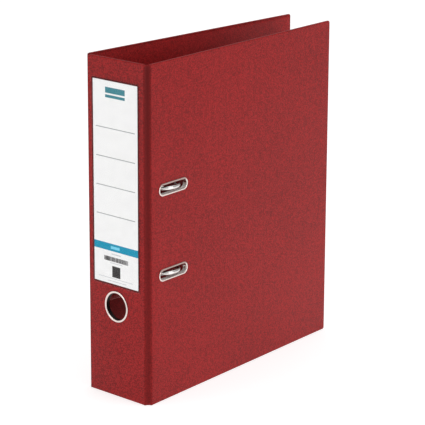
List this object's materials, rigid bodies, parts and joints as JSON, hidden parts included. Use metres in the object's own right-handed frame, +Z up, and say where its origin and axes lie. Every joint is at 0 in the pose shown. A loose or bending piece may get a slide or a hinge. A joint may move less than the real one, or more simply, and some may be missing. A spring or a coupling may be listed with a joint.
{
  "type": "lever arch file",
  "caption": "A4 lever arch file with a lever-operated ring mechanism, slotted cover, finger ring and spine label, standing shut.",
  "frame": {"origin": "middle of the base of the shut file, on the surface it stands on", "axes": "+Z up along the spine, -Y the spine's outside, -X the back cover, +X the front cover"},
  "size_m": [0.081, 0.2872, 0.318],
  "materials": {
    "red_film": "embossed satin polypropylene film",
    "grey_board": "solid greyboard",
    "red_lining": "fine matt film",
    "nickel": "bright nickel plate",
    "spring_steel": "brushed",
    "clear_film": "clear gloss film",
    "label_paper": "uncoated white card with printed marks",
    "black_plastic": "satin moulded"
  },
  "bodies": {
    "back_cover": {"back_film": "red_film", "back_board": "grey_board", "back_lining": "red_lining", "base_plate": "nickel", "base_rivet_1": "nickel", "base_rivet_2": "nickel", "base_rivet_3": "nickel", "base_rivet_4": "nickel", "post_upper": "nickel", "post_lower": "nickel", "pivot_pin": "nickel", "arch_spring": "spring_steel"},
    "back_hinge": {"back_hinge_film": "red_film"},
    "spine": {"spine_film": "red_film", "spine_board": "grey_board", "spine_lining": "red_lining", "label_pocket": "clear_film", "finger_ring": "nickel", "finger_ring_backing": "nickel"},
    "front_hinge": {"front_hinge_film": "red_film"},
    "front_cover": {"front_film": "red_film", "front_board": "grey_board", "front_lining": "red_lining", "slot_eyelet_upper": "nickel", "slot_backing_upper": "nickel", "slot_eyelet_lower": "nickel", "slot_backing_lower": "nickel"},
    "label": {"spine_label": "label_paper"},
    "arches": {"arch_wire": "nickel"},
    "lever": {"lever_arm": "nickel", "lever_grip": "black_plastic", "roller_pin": "nickel"},
    "roller": {"lever_roller": "spring_steel"},
    "compressor": {"compressor_bar": "nickel", "compressor_grip": "black_plastic"}
  },
  "joints": [
    {"name": "back_cover_crease", "type": "hinge", "parent": "back_cover", "child": "back_hinge", "pos_m": [-0.0392, -0.1376, 0], "axis": [0, 0, -1], "range_deg": [0, 90]},
    {"name": "spine_back_crease", "type": "hinge", "parent": "back_hinge", "child": "spine", "pos_m": [-0.03561, -0.14159, 0], "axis": [0, 0, -1], "range_deg": [0, 90]},
    {"name": "spine_front_crease", "type": "hinge", "parent": "spine", "child": "front_hinge", "pos_m": [0.03628, -0.14247, 0], "axis": [0, 0, -1], "range_deg": [0, 90]},
    {"name": "front_cover_crease", "type": "hinge", "parent": "front_hinge", "child": "front_cover", "pos_m": [0.04001, -0.1386, 0], "axis": [0, 0, -1], "range_deg": [0, 90]},
    {"name": "lever_swing", "type": "hinge", "parent": "back_cover", "child": "lever", "pos_m": [-0.0253, -0.1071, 0.161], "axis": [0, 1, 0], "range_deg": [0, 90]},
    {"name": "arch_swing", "type": "hinge", "parent": "back_cover", "child": "arches", "pos_m": [-0.0308, -0.1206, 0.161], "axis": [0, 0, -1], "range_deg": [0, 45]},
    {"name": "roller_spin", "type": "hinge", "parent": "lever", "child": "roller", "pos_m": [-0.0257, -0.1071, 0.1735], "axis": [0, 1, 0], "continuous": true},
    {"name": "compressor_slide", "type": "slide", "parent": "back_cover", "child": "compressor", "axis": [1, 0, 0], "range_m": [0, 0.048]},
    {"name": "label_slide", "type": "slide", "parent": "spine", "child": "label", "axis": [0, 0, 1], "range_m": [0, 0.195]}
  ],
  "couplings": [
    {"joint": "spine_front_crease", "follows": "front_cover_crease", "ratio": 1},
    {"joint": "lever_swing", "follows": "spine_back_crease", "ratio": 1},
    {"joint": "arch_swing", "follows": "spine_back_crease", "ratio": 0.5}
  ]
}
